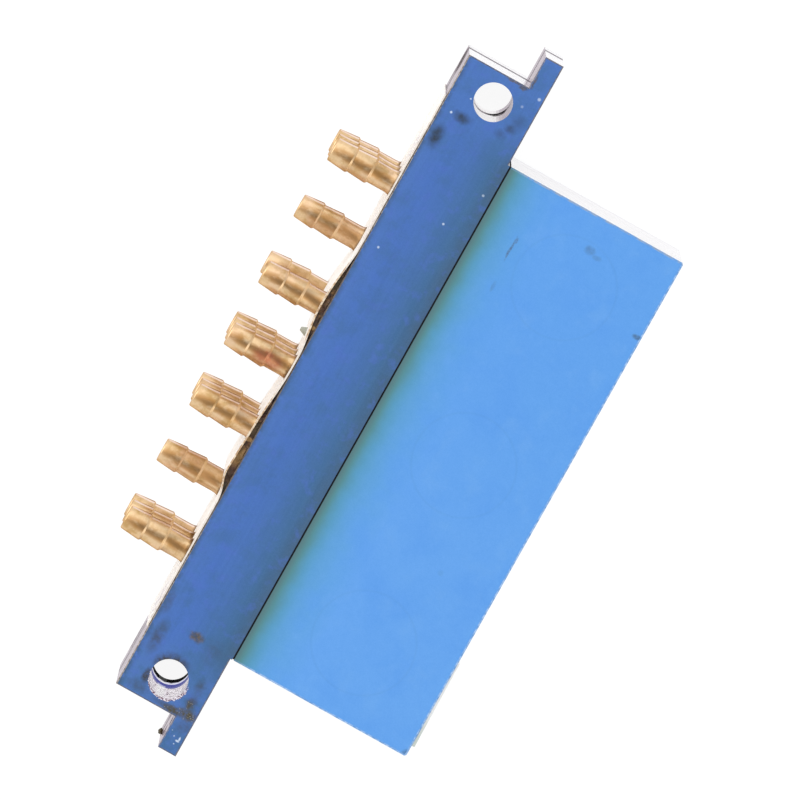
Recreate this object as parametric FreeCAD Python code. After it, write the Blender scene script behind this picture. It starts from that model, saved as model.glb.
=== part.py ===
import FreeCAD, Part
import math
import os

# Pneumatic logic block: a base bar with barbed hose nipples, and a valve housing bolted to it.
# All sizes are millimetres.  +Z points up when the block lies on its back plate.
# The origin is midway between the two mounting holes, on the back of the rear plate.
# The nipples point towards -X, the valve housing stands on the +X side, Y runs along the bar.

Vector = FreeCAD.Vector

# Base bar: three plates bonded face to face, all with the same outline
base_width = 10.0
base_end_length = 8.8
rear_thickness = 5.7
middle_thickness = 2.7
front_thickness = 12.1
tab_length = 4.0
tab_thickness = 2.3
edge_break = 0.15
mount_hole_diameter = 4.5
mount_hole_end_distance = 3.4

# Joint between the bar and the housing
pad_height = 0.2
gasket_thickness = 0.2
gasket_inset = 0.3

# Valve housing
housing_width = 22.4
housing_edge_break = 0.2

# Hose nipples: a grid of columns along Y and rows along Z
port_pitch = 8.0
first_row_depth = 2.2
column_count = 7
stem_diameter = 2.84
crest_diameter = 3.32
barb_root_diameter = 2.96
barb_length = 2.5
barb_drop = 0.2
stem_length = 3.2
root_flange_diameter = 3.1
root_flange_thickness = 0.3
root_cone_height = 0.5
nipple_bore_diameter = 1.6
tip_chamfer = 0.1
spigot_diameter = 2.8
spigot_length = 4.0
spigot_clearance = 0.02
socket_end_gap = 0.2

# Air passages
passage_diameter = 1.6
gasket_hole_diameter = 2.0
gallery_width = 2.0
gallery_x = 1.5
riser_diameter = 1.4
face_groove_depth = 1.2

# Valve cells: three stacks of inserts, each in a bore that is closed by a flush plug
cell_port_offset = 0.8
cell_offset = 0.7
cell_bore_diameter = 12.0
cell_end_wall = 3.0
cell_floor_height = 3.6
insert_clearance = 0.05
lower_seat_height = 2.4
upper_seat_height = 2.0
seat_hole_diameter = 2.4
seat_lip_height = 0.3
seat_lip_width = 0.5
guide_height = 6.6
guide_bore_diameter = 6.4
guide_groove_width = 2.0
guide_groove_depth = 1.2
guide_window_diameter = 1.4
poppet_clearance = 0.08
poppet_travel = 1.0
poppet_flat_depth = 0.5
poppet_stem_diameter = 1.8
poppet_stem_gap = 0.1
diaphragm_thickness = 0.5
diaphragm_rim_width = 1.0
diaphragm_web_thickness = 0.3
plug_clearance = 0.02
plug_recess_diameter = 8.0
plug_recess_depth = 0.6
plug_groove_depth = 0.8
plug_duct_diameter = 1.2

# Housing screws, with heads that lie flush under the port sheet
screw_diameter = 2.5
screw_hole_clearance = 0.15
screw_thread_clearance = 0.05
screw_head_diameter = 4.7
screw_head_height = 1.35
screw_grip = 6.0
screw_end_distance = 3.2
screw_hex_width = 1.5
screw_hex_depth = 0.9
screw_head_clearance = 0.03

# Thin sheet on the nipple face; it has lifted off the bar in two bows
sheet_upper_overhang = 3.5
sheet_lower_overhang = 1.3
sheet_thickness = 0.2
sheet_back_inset = 0.15
sheet_hole_clearance = 0.15
bow_peak_gap = 0.06
# Each bow's places are along Y from the nipple column that it covers
upper_bow = {"column": 3, "start": 6.3, "peak": 0.4, "inner_end": -5.3, "outer_end": -5.3, "lift": 0.57}
lower_bow = {"column": 5, "start": 6.4, "peak": -5.4, "inner_end": -9.2, "outer_end": -10.9, "lift": 0.78}

# Locating pin on the nipple face
pin_diameter = 1.1
pin_tip_diameter = 0.5
pin_projection = 1.2
pin_shoulder = 0.4
pin_depth = 2.0
pin_column = 3
pin_column_offset = -4.2
pin_clearance = 0.02

# Strip of clear film on the housing's outer side
film_length = 10.8
film_height = 8.0
film_end_distance = 1.4
film_top_gap = 0.1
film_thickness = 0.2
film_lift = 0.15

# How far an edge may stray from a plane and still count as lying in it
level_tolerance = 1e-6

# Sizes that follow from the values above
cell_pitch = (column_count - 1) / 2 * port_pitch - cell_port_offset
housing_length = 2 * (cell_pitch + cell_bore_diameter / 2 + cell_end_wall)
half_width = base_width / 2
half_length = housing_length / 2 + base_end_length
mount_hole_y = half_length - mount_hole_end_distance
screw_y = housing_length / 2 - screw_end_distance
block_height = rear_thickness + middle_thickness + front_thickness
middle_base_z = rear_thickness
front_base_z = rear_thickness + middle_thickness
pad_x = half_width + pad_height
housing_x = pad_x + gasket_thickness
cell_x = housing_x + housing_width / 2 + cell_offset
row_heights = {
    "top": block_height - first_row_depth,
    "middle": block_height - first_row_depth - port_pitch,
    "bottom": block_height - first_row_depth - 2 * port_pitch,
}
# Columns count from 1 at the +Y end; each row has nipples in these columns
row_columns = {
    "top": (1, 3, 4, 5, 7),
    "middle": (1, 2, 4, 5, 6, 7),
    "bottom": (1, 3, 4, 5, 7),
}
gallery_columns = {"middle": (2, 6), "bottom": (3, 5)}
groove_columns = (3, 5)
# Each valve cell is fed by the three ports of one column
cell_columns = {1: 1, 2: 4, 3: 7}
screw_heights = (rear_thickness / 2, front_base_z + front_thickness / 2)
insert_radius = cell_bore_diameter / 2 - insert_clearance
lower_seat_top = cell_floor_height + lower_seat_height
guide_top = lower_seat_top + guide_height
diaphragm_base_z = guide_top + upper_seat_height
plug_base_z = diaphragm_base_z + diaphragm_thickness
lip_radius = seat_hole_diameter / 2 + seat_lip_width


def column_y(column):
    return ((column_count + 1) / 2 - column) * port_pitch


def cell_y(number):
    return (2 - number) * cell_pitch


def pin_y():
    return column_y(pin_column) + pin_column_offset


def port_places():
    return [(row, column) for row in row_columns for column in row_columns[row]]


def reaches_housing(row, column):
    return not (row == "middle" and column in gallery_columns["middle"])


def bar_along_x(diameter, x_low, x_high, y, z):
    return Part.makeCylinder(diameter / 2, x_high - x_low, Vector(x_low, y, z), Vector(1, 0, 0))


def bar_along_z(diameter, z_low, z_high, x, y):
    return Part.makeCylinder(diameter / 2, z_high - z_low, Vector(x, y, z_low), Vector(0, 0, 1))


def turned(profile):
    """A solid of revolution about Z from (radius, height) corners."""
    corners = [Vector(radius, 0, height) for radius, height in profile]
    face = Part.Face(Part.makePolygon(corners + corners[:1]))
    return face.revolve(Vector(), Vector(0, 0, 1), 360)


def turned_to_minus_x(profile, x, y, z):
    """The same, with its axis laid along -X and its zero height at the given point."""
    solid = turned(profile)
    solid.Placement = FreeCAD.Placement(Vector(x, y, z), FreeCAD.Rotation(Vector(0, 0, 1), Vector(-1, 0, 0)))
    return solid


def edges_at_height(solid, z):
    """The edges that lie wholly in one level plane."""
    return [
        edge for edge in solid.Edges
        if abs(edge.BoundBox.ZMin - z) < level_tolerance and abs(edge.BoundBox.ZMax - z) < level_tolerance
    ]


def bar_outline():
    """The bar seen on its face: a thin tab at each end, and a low pad that the housing seats on."""
    tab_x = half_width - tab_thickness
    tab_end = half_length + tab_length
    pad_end = housing_length / 2
    return [
        Vector(-half_width, -half_length, 0),
        Vector(tab_x, -half_length, 0),
        Vector(tab_x, -tab_end, 0),
        Vector(half_width, -tab_end, 0),
        Vector(half_width, -pad_end, 0),
        Vector(pad_x, -pad_end, 0),
        Vector(pad_x, pad_end, 0),
        Vector(half_width, pad_end, 0),
        Vector(half_width, tab_end, 0),
        Vector(tab_x, tab_end, 0),
        Vector(tab_x, half_length, 0),
        Vector(-half_width, half_length, 0),
    ]


def plate_blank(z_low, thickness, broken_z=None):
    """One plate of the bar; edges at one level are broken if asked, but the pad keeps sharp ones."""
    corners = bar_outline()
    blank = Part.Face(Part.makePolygon(corners + corners[:1])).extrude(Vector(0, 0, thickness))
    blank.translate(Vector(0, 0, z_low))
    if broken_z is None:
        return blank
    free_edges = [
        edge for edge in edges_at_height(blank, broken_z)
        if edge.BoundBox.XMax < half_width + level_tolerance
    ]
    return blank.makeChamfer(edge_break, free_edges)


def mounting_holes():
    return [
        bar_along_z(mount_hole_diameter, -1, block_height + 1, 0, side * mount_hole_y)
        for side in (-1, 1)
    ]


def port_drillings(row, column):
    """The socket for one nipple and the passage behind it."""
    y = column_y(column)
    z = row_heights[row]
    socket_depth = spigot_length + socket_end_gap
    socket_diameter = spigot_diameter + 2 * spigot_clearance
    end_x = pad_x + 1 if reaches_housing(row, column) else gallery_x + riser_diameter / 2
    return [
        bar_along_x(socket_diameter, -half_width - 1, -half_width + socket_depth, y, z),
        bar_along_x(passage_diameter, -half_width, end_x, y, z),
    ]


def screw_holes(z):
    """Countersunk through holes for the two screws at one height."""
    holes = []
    for side in (-1, 1):
        y = side * screw_y
        hole_diameter = screw_diameter + 2 * screw_hole_clearance
        holes.append(bar_along_x(hole_diameter, -half_width - 1, pad_x + 1, y, z))
        mouth_radius = screw_head_diameter / 2 + screw_head_clearance
        end_radius = screw_diameter / 2 + screw_head_clearance
        holes.append(Part.makeCone(mouth_radius, end_radius, screw_head_height,
                                   Vector(-half_width, y, z), Vector(1, 0, 0)))
    return holes


def gallery_risers(row, z_low, z_high):
    return [
        bar_along_z(riser_diameter, z_low, z_high, gallery_x, column_y(column))
        for column in gallery_columns[row]
    ]


def base_front_plate():
    blank = plate_blank(front_base_z, front_thickness, block_height)
    cuts = mounting_holes() + screw_holes(screw_heights[1])
    for row, column in port_places():
        if row != "bottom":
            cuts += port_drillings(row, column)
    cuts += gallery_risers("middle", front_base_z - 1, row_heights["middle"])
    pin_hole_diameter = pin_diameter + 2 * pin_clearance
    cuts.append(bar_along_x(pin_hole_diameter, -half_width - 1, -half_width + pin_depth,
                            pin_y(), row_heights["middle"]))
    return blank.cut(cuts)


def base_middle_plate():
    """The thin plate between the others; its slot joins the risers into one supply gallery."""
    blank = plate_blank(middle_base_z, middle_thickness)
    reach = column_y(gallery_columns["middle"][0])
    slot = Part.makeBox(gallery_width, 2 * reach, middle_thickness + 2,
                        Vector(gallery_x - gallery_width / 2, -reach, middle_base_z - 1))
    ends = [bar_along_z(gallery_width, middle_base_z - 1, front_base_z + 1, gallery_x, y)
            for y in (-reach, reach)]
    return blank.cut(mounting_holes() + [slot] + ends)


def base_rear_plate():
    blank = plate_blank(0, rear_thickness, 0)
    cuts = mounting_holes() + screw_holes(screw_heights[0])
    for column in row_columns["bottom"]:
        cuts += port_drillings("bottom", column)
    cuts += gallery_risers("bottom", row_heights["bottom"], rear_thickness + 1)
    return blank.cut(cuts)


def housing_gasket():
    """A thin sheet gasket, a little smaller than the housing's joint face."""
    length = housing_length - 2 * gasket_inset
    height = block_height - 2 * gasket_inset
    gasket = Part.makeBox(gasket_thickness, length, height, Vector(pad_x, -length / 2, gasket_inset))
    holes = [
        bar_along_x(gasket_hole_diameter, pad_x - 1, housing_x + 1, column_y(column), row_heights[row])
        for row, column in port_places() if reaches_housing(row, column)
    ]
    hole_diameter = screw_diameter + 2 * screw_hole_clearance
    for z in screw_heights:
        for side in (-1, 1):
            holes.append(bar_along_x(hole_diameter, pad_x - 1, housing_x + 1, side * screw_y, z))
    return gasket.cut(holes)


def cell_passages(number):
    """Pilot, outlet and supply passages from the joint face to one valve cell."""
    y = column_y(cell_columns[number])
    bore_edge_x = cell_x - cell_bore_diameter / 2
    supply_z = row_heights["bottom"]
    return [
        bar_along_x(passage_diameter, housing_x - 1, bore_edge_x + 1, y, row_heights["top"]),
        bar_along_x(passage_diameter, housing_x - 1, bore_edge_x + 1, y, row_heights["middle"]),
        bar_along_x(passage_diameter, housing_x - 1, cell_x + passage_diameter / 2, y, supply_z),
        bar_along_z(passage_diameter, supply_z, cell_floor_height + 1, cell_x, cell_y(number)),
    ]


def face_grooves():
    """Milled grooves that lead the ports beside the centre column to the middle cell."""
    grooves = []
    for row, column in port_places():
        if column not in groove_columns:
            continue
        y = column_y(column)
        z = row_heights[row]
        corner = Vector(housing_x - 1, min(y, 0), z - passage_diameter / 2)
        grooves.append(Part.makeBox(face_groove_depth + 1, abs(y), passage_diameter, corner))
        grooves.append(bar_along_x(passage_diameter, housing_x - 1, housing_x + face_groove_depth, y, z))
    return grooves


def valve_housing():
    block = Part.makeBox(housing_width, housing_length, block_height,
                         Vector(housing_x, -housing_length / 2, 0))
    free_edges = [edge for edge in block.Edges if edge.BoundBox.XMax > housing_x + level_tolerance]
    block = block.makeChamfer(housing_edge_break, free_edges)
    cuts = face_grooves()
    for number in cell_columns:
        cuts.append(bar_along_z(cell_bore_diameter, cell_floor_height, block_height + 1,
                                cell_x, cell_y(number)))
        cuts += cell_passages(number)
    thread_diameter = screw_diameter + 2 * screw_thread_clearance
    for z in screw_heights:
        for side in (-1, 1):
            cuts.append(bar_along_x(thread_diameter, housing_x - 1, housing_x + screw_grip + 1,
                                    side * screw_y, z))
    return block.cut(cuts)


def hose_nipple(row, column):
    """A turned brass nipple: a spigot, a flared root, a stem, two barbs and a through bore."""
    bore = nipple_bore_diameter / 2
    spigot = spigot_diameter / 2
    flange = root_flange_diameter / 2
    stem = stem_diameter / 2
    crest = crest_diameter / 2
    barb_root = barb_root_diameter / 2
    second_crest = stem_length
    first_root = second_crest + barb_length
    tip = first_root + barb_length
    profile = [
        (bore, -spigot_length),
        (spigot, -spigot_length),
        (spigot, 0),
        (flange, 0),
        (flange, root_flange_thickness),
        (stem, root_flange_thickness + root_cone_height),
        (stem, second_crest - barb_drop),
        (crest, second_crest),
        (barb_root, first_root - barb_drop),
        (crest, first_root),
        (stem, tip - tip_chamfer),
        (stem - tip_chamfer, tip),
        (bore, tip),
    ]
    return turned_to_minus_x(profile, -half_width, column_y(column), row_heights[row])


def housing_screws():
    """Four countersunk socket screws that hold the housing against the bar."""
    head = screw_head_diameter / 2
    shank = screw_diameter / 2
    length = housing_x + screw_grip + half_width
    screws = []
    for z in screw_heights:
        for side in (-1, 1):
            profile = [(0, 0), (head, 0), (shank, -screw_head_height), (shank, -length), (0, -length)]
            screw = turned_to_minus_x(profile, -half_width, side * screw_y, z)
            corner_radius = screw_hex_width / math.sqrt(3)
            corners = [
                Vector(-half_width,
                       side * screw_y + corner_radius * math.cos(math.radians(60 * turn)),
                       z + corner_radius * math.sin(math.radians(60 * turn)))
                for turn in range(6)
            ]
            socket = Part.Face(Part.makePolygon(corners + corners[:1]))
            screws.append(screw.cut(socket.extrude(Vector(screw_hex_depth, 0, 0))))
    return Part.makeCompound(screws)


def bow_points(bow, end_name, lift, base_x):
    """Five points of a bow, from where the sheet leaves the bar to where it comes back."""
    middle = column_y(bow["column"])
    start = middle + bow["start"]
    peak = middle + bow["peak"]
    end = middle + bow[end_name]
    return [
        Vector(base_x, start, 0),
        Vector(base_x - lift / 2, (start + peak) / 2, 0),
        Vector(base_x - lift, peak, 0),
        Vector(base_x - lift / 2, (peak + end) / 2, 0),
        Vector(base_x, end, 0),
    ]


def bow_edge(points):
    curve = Part.BSplineCurve()
    along = Vector(0, -1, 0)
    curve.interpolate(Points=points, InitialTangent=along, FinalTangent=along)
    return curve.toShape()


def sheet_side(base_x, end_name):
    """One side of the sheet's section, from its upper end to its lower end."""
    upper_end = Vector(base_x, housing_length / 2 + sheet_upper_overhang, 0)
    lower_end = Vector(base_x, -housing_length / 2 - sheet_lower_overhang, 0)
    upper = bow_points(upper_bow, end_name, upper_bow["lift"], base_x)
    lower = bow_points(lower_bow, end_name, lower_bow["lift"], base_x)
    return [
        Part.makeLine(upper_end, upper[0]),
        bow_edge(upper),
        Part.makeLine(upper[-1], lower[0]),
        bow_edge(lower),
        Part.makeLine(lower[-1], lower_end),
    ]


def root_holes(clearance):
    """Holes round the nipple roots and the locating pin."""
    reach = base_width
    holes = [
        bar_along_x(root_flange_diameter + 2 * clearance, -half_width - reach, -half_width + reach,
                    column_y(column), row_heights[row])
        for row, column in port_places()
    ]
    holes.append(bar_along_x(pin_diameter + 2 * clearance, -half_width - reach, -half_width + reach,
                             pin_y(), row_heights["middle"]))
    return holes


def port_sheet():
    """The thin sheet round the nipples, with its two bows and a hole for each nipple."""
    inner = sheet_side(-half_width, "inner_end")
    outer = sheet_side(-half_width - sheet_thickness, "outer_end")
    upper_cap = Part.makeLine(inner[0].Vertexes[0].Point, outer[0].Vertexes[0].Point)
    lower_cap = Part.makeLine(inner[-1].Vertexes[-1].Point, outer[-1].Vertexes[-1].Point)
    outline = Part.Wire(Part.__sortEdges__(inner + outer + [upper_cap, lower_cap]))
    height = block_height - sheet_back_inset
    sheet = Part.Face(outline).extrude(Vector(0, 0, height))
    sheet.translate(Vector(0, 0, sheet_back_inset))
    return sheet.cut(root_holes(sheet_hole_clearance))


def sheet_adhesive():
    """Old adhesive that fills the two bows between the bar and the sheet."""
    pads = []
    for bow in (upper_bow, lower_bow):
        points = bow_points(bow, "inner_end", bow["lift"] - bow_peak_gap, -half_width)
        outline = Part.Wire([bow_edge(points), Part.makeLine(points[-1], points[0])])
        height = block_height - 2 * sheet_back_inset
        pad = Part.Face(outline).extrude(Vector(0, 0, height))
        pad.translate(Vector(0, 0, sheet_back_inset))
        pads.append(pad.cut(root_holes(sheet_hole_clearance)))
    return Part.makeCompound(pads)


def locating_pin():
    """A small pin with a tapered nose, pressed into the nipple face."""
    radius = pin_diameter / 2
    tip = pin_tip_diameter / 2
    profile = [(0, -pin_depth), (radius, -pin_depth), (radius, pin_shoulder), (tip, pin_projection),
               (0, pin_projection)]
    return turned_to_minus_x(profile, -half_width, pin_y(), row_heights["middle"])


def side_film():
    """A strip of clear film on the housing's outer side, lifted at its lower end."""
    base_x = housing_x + housing_width
    lower_y = film_end_distance - housing_length / 2
    upper_y = lower_y + film_length
    corners = [
        Vector(base_x, upper_y, 0),
        Vector(base_x + film_thickness, upper_y, 0),
        Vector(base_x + film_thickness + film_lift, lower_y, 0),
        Vector(base_x, lower_y, 0),
    ]
    film = Part.Face(Part.makePolygon(corners + corners[:1])).extrude(Vector(0, 0, film_height))
    film.translate(Vector(0, 0, block_height - housing_edge_break - film_top_gap - film_height))
    return film


def lower_seat():
    """The supply seat: a disc with a hole and a sealing lip on top."""
    hole = seat_hole_diameter / 2
    return turned([
        (hole, cell_floor_height),
        (insert_radius, cell_floor_height),
        (insert_radius, lower_seat_top),
        (lip_radius, lower_seat_top),
        (lip_radius, lower_seat_top + seat_lip_height),
        (hole, lower_seat_top + seat_lip_height),
    ])


def upper_seat():
    """The exhaust seat: the same disc with its lip underneath."""
    hole = seat_hole_diameter / 2
    return turned([
        (hole, diaphragm_base_z),
        (insert_radius, diaphragm_base_z),
        (insert_radius, guide_top),
        (lip_radius, guide_top),
        (lip_radius, guide_top - seat_lip_height),
        (hole, guide_top - seat_lip_height),
    ])


def poppet_guide():
    """The ring that guides the poppet, with a groove and four windows at the outlet's height."""
    outlet_z = row_heights["middle"]
    groove = insert_radius - guide_groove_depth
    guide = turned([
        (guide_bore_diameter / 2, lower_seat_top),
        (insert_radius, lower_seat_top),
        (insert_radius, outlet_z - guide_groove_width / 2),
        (groove, outlet_z - guide_groove_width / 2),
        (groove, outlet_z + guide_groove_width / 2),
        (insert_radius, outlet_z + guide_groove_width / 2),
        (insert_radius, guide_top),
        (guide_bore_diameter / 2, guide_top),
    ])
    length = cell_bore_diameter
    windows = [bar_along_x(guide_window_diameter, -length, length, 0, outlet_z)]
    windows.append(Part.makeCylinder(guide_window_diameter / 2, 2 * length,
                                     Vector(0, -length, outlet_z), Vector(0, 1, 0)))
    return guide.cut(windows)


def valve_poppet():
    """The moving poppet: three flats let air past, and the stem reaches up to the diaphragm."""
    radius = guide_bore_diameter / 2 - poppet_clearance
    base = lower_seat_top + seat_lip_height
    shoulder = guide_top - seat_lip_height - poppet_travel
    stem_top = diaphragm_base_z - poppet_travel - poppet_stem_gap
    stem = poppet_stem_diameter / 2
    poppet = turned([(0, base), (radius, base), (radius, shoulder), (stem, shoulder), (stem, stem_top),
                     (0, stem_top)])
    flat = Part.makeBox(radius, 2 * radius, shoulder - base,
                        Vector(radius - poppet_flat_depth, -radius, base))
    flats = []
    for turn in range(3):
        cutter = flat.copy()
        cutter.rotate(Vector(), Vector(0, 0, 1), 120 * turn)
        flats.append(cutter)
    return poppet.cut(flats)


def pilot_diaphragm():
    """A moulded rubber disc: a thick rim that the plug clamps, and a thinner web."""
    rim = insert_radius - diaphragm_rim_width
    top = diaphragm_base_z + diaphragm_thickness
    return turned([
        (0, diaphragm_base_z),
        (insert_radius, diaphragm_base_z),
        (insert_radius, top),
        (rim, top),
        (rim, diaphragm_base_z + diaphragm_web_thickness),
        (0, diaphragm_base_z + diaphragm_web_thickness),
    ])


def cell_plug():
    """The flush plug, with a groove and ducts that lead pilot air to the diaphragm."""
    radius = cell_bore_diameter / 2 - plug_clearance
    pilot_z = row_heights["top"]
    groove = radius - plug_groove_depth
    plug = turned([
        (0, plug_base_z + plug_recess_depth),
        (plug_recess_diameter / 2, plug_base_z + plug_recess_depth),
        (plug_recess_diameter / 2, plug_base_z),
        (radius, plug_base_z),
        (radius, pilot_z - passage_diameter / 2),
        (groove, pilot_z - passage_diameter / 2),
        (groove, pilot_z + passage_diameter / 2),
        (radius, pilot_z + passage_diameter / 2),
        (radius, block_height),
        (0, block_height),
    ])
    ducts = [
        bar_along_x(plug_duct_diameter, -cell_bore_diameter, 0, 0, pilot_z),
        bar_along_z(plug_duct_diameter, plug_base_z, pilot_z, 0, 0),
    ]
    return plug.cut(ducts)


def in_cell(solid, number):
    placed = solid.copy()
    placed.translate(Vector(cell_x, cell_y(number), 0))
    return placed


def all_nodes():
    nodes = {
        "base_front_plate": base_front_plate(),
        "base_middle_plate": base_middle_plate(),
        "base_rear_plate": base_rear_plate(),
        "housing_gasket": housing_gasket(),
        "valve_housing": valve_housing(),
        "housing_screws": housing_screws(),
        "port_sheet": port_sheet(),
        "sheet_adhesive": sheet_adhesive(),
        "locating_pin": locating_pin(),
        "side_film": side_film(),
    }
    for row, column in port_places():
        nodes[f"hose_nipple_{row}_{column}"] = hose_nipple(row, column)
    inserts = {
        "lower_seat": lower_seat(),
        "poppet_guide": poppet_guide(),
        "valve_poppet": valve_poppet(),
        "upper_seat": upper_seat(),
        "pilot_diaphragm": pilot_diaphragm(),
        "cell_plug": cell_plug(),
    }
    for number in cell_columns:
        for name, solid in inserts.items():
            nodes[f"{name}_{number}"] = in_cell(solid, number)
    return nodes


os.makedirs("parts", exist_ok=True)
for node, shape in all_nodes().items():
    shape.exportStep(f"parts/{node}.step")
    box = shape.BoundBox
    print(f"{node}: {len(shape.Solids)} solid(s), {shape.Volume:.2f} mm3, valid {shape.isValid()},",
          f"{box.XLength:.2f} x {box.YLength:.2f} x {box.ZLength:.2f} mm")
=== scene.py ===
# %% [markdown]
# # Dressing a pneumatic logic block for its picture
# The block is a narrow dark-blue bar with brass hose nipples along one side and a light-blue valve
# housing bolted to the other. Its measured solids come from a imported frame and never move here.
# This lesson gives every solid a finish, and models again the pieces whose real surface is too
# lively for a plain solid: the turned nipples, the lifted paper sheet and the old adhesive.

# %% Load the frame
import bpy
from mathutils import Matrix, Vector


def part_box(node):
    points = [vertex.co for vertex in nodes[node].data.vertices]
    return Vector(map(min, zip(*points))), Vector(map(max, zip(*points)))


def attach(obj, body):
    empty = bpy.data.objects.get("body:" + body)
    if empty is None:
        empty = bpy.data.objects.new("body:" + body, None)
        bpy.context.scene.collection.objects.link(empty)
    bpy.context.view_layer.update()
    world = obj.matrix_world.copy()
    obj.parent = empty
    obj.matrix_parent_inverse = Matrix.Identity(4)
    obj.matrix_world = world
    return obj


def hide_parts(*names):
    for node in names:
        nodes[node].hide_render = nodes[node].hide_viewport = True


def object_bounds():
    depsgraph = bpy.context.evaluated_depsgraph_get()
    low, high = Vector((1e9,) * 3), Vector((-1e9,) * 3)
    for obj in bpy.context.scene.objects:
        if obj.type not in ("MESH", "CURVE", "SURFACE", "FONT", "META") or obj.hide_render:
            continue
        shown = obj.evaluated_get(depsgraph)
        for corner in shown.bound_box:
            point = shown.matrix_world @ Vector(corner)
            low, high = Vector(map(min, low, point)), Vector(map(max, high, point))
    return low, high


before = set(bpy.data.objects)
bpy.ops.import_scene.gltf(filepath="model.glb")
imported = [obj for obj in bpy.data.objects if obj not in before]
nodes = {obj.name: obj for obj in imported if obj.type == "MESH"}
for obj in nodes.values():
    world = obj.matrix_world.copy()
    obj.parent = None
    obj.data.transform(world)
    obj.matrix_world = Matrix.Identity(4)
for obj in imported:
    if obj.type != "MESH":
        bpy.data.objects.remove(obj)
cad_box = [list(corner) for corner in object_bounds()]

import math

import bpy
from mathutils import Matrix, Vector

MM = 0.001
print(f"{len(nodes)} solids loaded, box {cad_box}")

# %% [markdown]
# ## The camera
# The photograph was taken from about a metre and a half above the face, from a little beyond the
# bar's upper end, with a long lens. The shift of the three nipple rows against each other, and of
# the hole walls, gives the camera's place. A long lens far away is right here: a short one nearby
# would spread the nipple rows too much.

# %% Place the camera
look_at = Vector((7.341, 2.958, 20.5)) * MM
to_camera = Vector((-56.687, 113.954, 1517.879)) * MM
camera_roll = math.radians(29.293)
sensor_width = 36
focal_pixels = 13438
picture_width = 800

forward = -to_camera.normalized()
picture_up = Vector((-math.sin(camera_roll), math.cos(camera_roll), 0))
right = forward.cross(picture_up).normalized()
up = right.cross(forward)

bpy.ops.object.camera_add(location=look_at + to_camera)
camera = bpy.context.object
camera.name = "picture_camera"
camera.rotation_euler = Matrix((right, up, -forward)).transposed().to_euler()
camera.data.sensor_width = sensor_width
camera.data.lens = focal_pixels / picture_width * sensor_width
camera.data.clip_start = 0.1
camera.data.clip_end = 20
bpy.context.scene.camera = camera
print(f"camera {to_camera.length * 1000:.0f} mm away, lens {camera.data.lens:.0f} mm")

# %% [markdown]
# ## Light, floor and background
# The picture has a white ground and soft, even light. The floor is a pale disc. What the camera,
# a reflection or a clear film sees of it is lifted towards white, while the object's shadow stays.
# The sky that mirrors in the metal is white at the horizon and darker overhead, where a camera
# stands in a real studio: that gives round brass its dark middle streak.

# %% Node helpers
def feed(socket, value):
    """Join a socket to another node's output, or set it to a plain value."""
    if isinstance(value, bpy.types.NodeSocket):
        socket.id_data.links.new(value, socket)
    else:
        socket.default_value = value


def new_node(kind, *values):
    """A new node in the tree that the first socket among the values belongs to."""
    sockets = [value for value in values if isinstance(value, bpy.types.NodeSocket)]
    return sockets[0].id_data.nodes.new(kind)


def calculate(operation, first, second=0):
    node = new_node("ShaderNodeMath", first, second)
    node.operation = operation
    feed(node.inputs[0], first)
    feed(node.inputs[1], second)
    return node.outputs[0]


def times(first, *others):
    """Several shares multiplied."""
    for other in others:
        first = calculate("MULTIPLY", first, other)
    return first


def fade(value, start, end):
    """A share that is 0 at start and 1 at end, and changes smoothly between them."""
    node = new_node("ShaderNodeMapRange", value)
    node.interpolation_type = "SMOOTHSTEP"
    feed(node.inputs["Value"], value)
    node.inputs["From Min"].default_value = start
    node.inputs["From Max"].default_value = end
    return node.outputs["Result"]


def colour(value):
    """A colour in 0 to 255 numbers, as on a paint chart, for Blender. A socket stays itself."""
    if isinstance(value, bpy.types.NodeSocket):
        return value
    parts = [part / 255 for part in value]
    parts = [part / 12.92 if part <= 0.04045 else ((part + 0.055) / 1.055) ** 2.4 for part in parts]
    return (*parts, 1)


def mix(share, under, over, strength=1):
    """Lay one colour over another by a share, which strength can weaken."""
    if strength != 1:
        share = times(share, strength)
    node = new_node("ShaderNodeMix", share, under, over)
    node.data_type = "RGBA"
    feed(node.inputs[0], share)
    feed(node.inputs[6], colour(under))
    feed(node.inputs[7], colour(over))
    return node.outputs[2]


def mix_number(share, under, over):
    node = new_node("ShaderNodeMix", share, under, over)
    node.data_type = "FLOAT"
    feed(node.inputs[0], share)
    feed(node.inputs[2], under)
    feed(node.inputs[3], over)
    return node.outputs[0]


def axes(place):
    """The three numbers of a place or a direction."""
    node = new_node("ShaderNodeSeparateXYZ", place)
    feed(node.inputs[0], place)
    return node.outputs["X"], node.outputs["Y"], node.outputs["Z"]


def ray_share(tree):
    """1 for what the camera, a reflection or a clear film sees, and 0 for the light itself."""
    path = tree.nodes.new("ShaderNodeLightPath")
    seen = calculate("MAXIMUM", path.outputs["Is Camera Ray"], path.outputs["Is Glossy Ray"])
    return path, calculate("MAXIMUM", seen, path.outputs["Is Transmission Ray"])


print("node helpers ready")

# %% Sky
sky_light = 0.68
zenith_level = 0.36
far_side_level = 0.62
world = bpy.data.worlds.new("studio_sky")
bpy.context.scene.world = world
world.use_nodes = True
sky = world.node_tree
sky.nodes.clear()
path, seen = ray_share(sky)
_, along, height = axes(sky.nodes.new("ShaderNodeTexCoord").outputs["Generated"])
dimmed = times(fade(along, -0.15, 0.45), fade(height, 0.15, 0.35))
around = mix_number(dimmed, 1, far_side_level)
mirrored = mix_number(fade(height, 0.72, 0.99), around, zenith_level)
shown = mix_number(path.outputs["Is Camera Ray"], mirrored, 1)
background = sky.nodes.new("ShaderNodeBackground")
feed(background.inputs["Color"], (1, 1, 1, 1))
feed(background.inputs["Strength"], mix_number(seen, sky_light, shown))
feed(sky.nodes.new("ShaderNodeOutputWorld").inputs["Surface"], background.outputs[0])
print(f"sky lights at {sky_light}, mirrors {zenith_level} overhead")

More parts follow.
